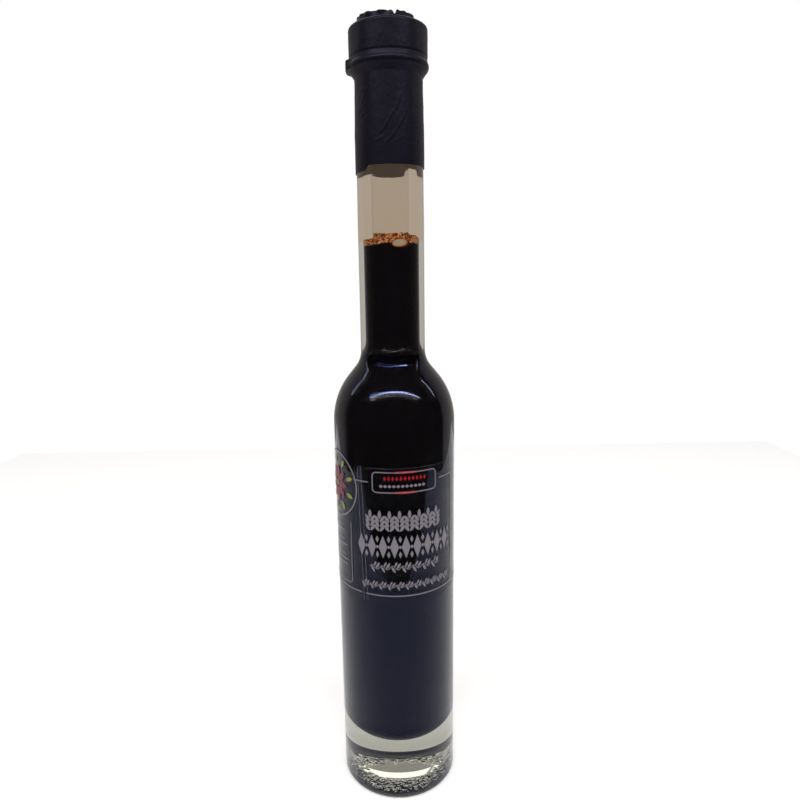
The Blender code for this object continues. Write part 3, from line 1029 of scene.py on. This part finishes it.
def rounded_frame(x0, z0, x1, z1, corner, line):
    """A closed rectangle with round corners."""
    points = []
    for cx, cz, start in [(x1 - corner, z1 - corner, 0), (x0 + corner, z1 - corner, 1),
                          (x0 + corner, z0 + corner, 2), (x1 - corner, z0 + corner, 3)]:
        points += [(cx + corner * cos((start + t / 6.0) * pi / 2.0),
                    cz + corner * sin((start + t / 6.0) * pi / 2.0)) for t in range(7)]
    closed = spaced(points + points[:1], 0.6)[:-1]
    return ribbon(closed, line, closed=True)


def at(az):
    """Distance round the label, in mm, of an angle from the front in degrees."""
    return radians(az) * INK_R


def ink(name, marks, material, count=1, pitch=1.0):
    verts, faces = [], []
    for mark_verts, mark_faces in marks:
        faces += [tuple(i + len(verts) for i in face) for face in mark_faces]
        verts += mark_verts
    piece = from_points(name, verts, faces)
    run_tree(piece, PRINT, {"Count": count, "Pitch": pitch * MM, "Radius": INK_R * MM,
                            "Thickness": INK_THICKNESS * MM, "Material": material})
    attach(piece, "root")
    print(name, "has", len(piece.data.polygons), "faces")


# %% Inks
def ink_material(name, colour):
    material, tree, shader = new_material(name, Roughness=0.45, Specular_IOR_Level=0.3)
    shade = ranged(tree, object_noise(tree, 1800.0), 0.86, 1.1)
    tone = mixed(tree, 1.0, linear(colour), shade, "MULTIPLY")
    tree.links.new(tone, shader.inputs["Base Color"])
    return material


silver_ink = ink_material("silver_grey_ink", "#837E86")
red_ink = ink_material("dark_red_ink", "#A3131F")
leaf_ink = ink_material("leaf_green_ink", "#8B9440")
berry_ink = ink_material("berry_ink", "#7A3344")

# %% Frame lines
LINE = 0.42
RING_Z = 89.6
TOP_LINE_Z = 133.9
PANEL_RIGHT_AZ = 63.7
PANEL_CORNER = 2.0

ring = [straight(at(LABEL_GAP_AZ + 2.4), RING_Z, at(LABEL_GAP_AZ + 357.6), RING_Z, LINE)]
corner = arc((at(PANEL_RIGHT_AZ) - PANEL_CORNER, TOP_LINE_Z - PANEL_CORNER), PANEL_CORNER,
             pi / 2.0, 0.0, 8)
foot = arc((at(PANEL_RIGHT_AZ) - 3.2, RING_Z + 3.2), 3.2, 0.0, -pi / 2.0, 8)
right_line = spaced([(at(43.0), TOP_LINE_Z)] + corner + foot, 0.6)
left_stub = straight(at(-41.0), TOP_LINE_Z, at(-24.8), TOP_LINE_Z, LINE)
ink("frame_lines", ring + [ribbon(right_line, LINE), left_stub], silver_ink)

side_panel = [(at(-45.6), 116.4)] + arc((at(-45.6) - 1.8, 91.6 + 1.8), 1.8, 0.0, -pi / 2.0, 8)
side_panel += [(at(-100.0), 91.6)]
ink("side_panel_lines", [ribbon(spaced(side_panel, 0.6), 0.28)], silver_ink)

# %% Ruled lines on the side panel
RULED_ROWS = [(98.6, -88, -52), (100.6, -88, -50), (102.6, -88, -55), (106.4, -88, -51),
              (108.4, -88, -57), (112.2, -88, -56), (114.2, -88, -60)]  # height, start, end
ink("ruled_lines", [straight(at(start), z, at(end), z, 0.3)
                    for z, start, end in RULED_ROWS], silver_ink)

# %% Medallion: a ring round a plain flower with leaves
mx, mz = at(MEDALLION_AZ), MEDALLION_Z
ink("medallion_ring", [oval_ring(mx, mz, 2 * MEDALLION_R, 2 * MEDALLION_R, 0.5)], silver_ink)


def petal(x, z, angle, near, far, width, steps=12):
    """A pointed oval that starts at near and ends at far from the middle."""
    points, widths = [], []
    for i in range(steps + 1):
        t = i / steps
        reach = near + (far - near) * t
        points.append((x + reach * cos(angle), z + reach * sin(angle)))
        widths.append(max(0.02, width * sin(pi * t) ** 0.8))
    return ribbon(points, widths)


petals = [petal(mx, mz, radians(a), 1.6, 7.4, 2.7) for a in range(0, 360, 40)]
ink("flower_petals", petals, berry_ink)
leaves = [petal(mx, mz, radians(a), 7.7, 11.3, 1.7) for a in range(20, 380, 40)]
ink("flower_leaves", leaves + [oval(mx, mz, 2.2, 2.2)], leaf_ink)

# %% Plaque in the gap of the top line
PLAQUE = (at(-20.6), 130.3, at(38.6), 137.9)
ink("plaque_frame", [rounded_frame(*PLAQUE, 1.5, 0.4)], silver_ink)
plaque_x = (PLAQUE[0] + PLAQUE[2]) / 2.0
plaque_z = (PLAQUE[1] + PLAQUE[3]) / 2.0
ink("plaque_bars", [filled(plaque_x, z, 10.5, 0.9, lambda t: sqrt(1.0 - t * t) + 0.02)
                    for z in (PLAQUE[1], PLAQUE[3])], red_ink)
ink("plaque_upper_row", [lozenge(plaque_x - 7.6, plaque_z + 1.5, 1.1, 1.9)], red_ink, 11, 1.5)
ink("plaque_lower_row", [lozenge(plaque_x - 9.0, plaque_z - 1.4, 1.5, 1.3)], silver_ink, 11, 1.6)


# %% Two bold friezes
def leaf(x, z, lean_deg, length, width):
    """A leaf that starts at a point and leans from upright, to the right when positive."""
    return petal(x, z, pi / 2.0 - radians(lean_deg), 0.0, length, width)


def ear(x, z, height, width, pairs):
    """An upright ear of grain: a stem with pairs of leaves and one at the tip."""
    rise = height / (pairs + 1.6)
    marks = [leaf(x, z + height - 1.9 * rise, 0.0, 1.9 * rise, 0.40 * width)]
    for i in range(pairs):
        marks += [leaf(x + side * 0.05 * width, z + i * rise, side * 33.0, 1.75 * rise,
                       0.36 * width)
                  for side in (-1.0, 1.0)]
    return marks


ink("upper_frieze", ear(at(-27.7) + 1.7, 115.3, 8.2, 3.3, 3), silver_ink, 8, 3.72)
large_x, small_x, middle_z = at(-37.5) + 1.9, at(-37.5) + 4.07, 109.2
small_lozenges = [lozenge(small_x, middle_z + up, 1.3, 2.8) for up in (3.0, -3.0)]
ink("lower_frieze", [lozenge(large_x, middle_z, 3.3, 9.0), *small_lozenges,
                     oval(small_x, middle_z, 0.9, 1.3)], silver_ink, 9, 4.33)


# %% Two leafy vines
def vine(az_start, az_end, z, height, waves):
    """A wavy stem with a leaf above each hollow and below each crest."""
    x0, x1 = at(az_start), at(az_end)
    wave = (x1 - x0) / waves
    stem = [(x0 + wave * i / 24.0, z + 0.16 * height * sin(2.0 * pi * i / 24.0))
            for i in range(24 * waves + 1)]
    marks = [ribbon(stem, 0.26)]
    for i in range(waves):
        crest, hollow = x0 + wave * (i + 0.25), x0 + wave * (i + 0.75)
        marks += [leaf(crest - 0.1 * wave, z + 0.1 * height, 150.0, 0.62 * height, 0.2 * height),
                  leaf(crest + 0.2 * wave, z + 0.1 * height, 25.0, 0.45 * height, 0.17 * height),
                  leaf(hollow - 0.1 * wave, z - 0.1 * height, 30.0, 0.62 * height, 0.2 * height)]
    return marks


ink("upper_vine", vine(-25.0, 42.0, 101.0, 4.6, 7), silver_ink)
ink("lower_vine", vine(-34.0, 56.0, 93.6, 3.8, 11), silver_ink)

# %% Edges of the film: grey strips that are painted highlights, where the edges catch a little light
painted_edge_glint, tree, shader = new_material("painted_film_edge_glint", Base_Color=linear("#77767C"), Roughness=0.3)
tree.links.new(ranged(tree, object_noise(tree, 160.0), 0.2, 0.7), shader.inputs["Alpha"])
edges = [straight(at(-31.6), LABEL_Z[0], at(-35.6), LABEL_Z[1], 0.18),
         straight(at(-27.8), LABEL_Z[0], at(-31.8), LABEL_Z[1], 0.18),
         straight(at(-27.0), LABEL_Z[1] - 0.1, at(180.0), LABEL_Z[1] - 0.1, 0.07)]
ink("painted_film_edge_glints", edges, painted_edge_glint)
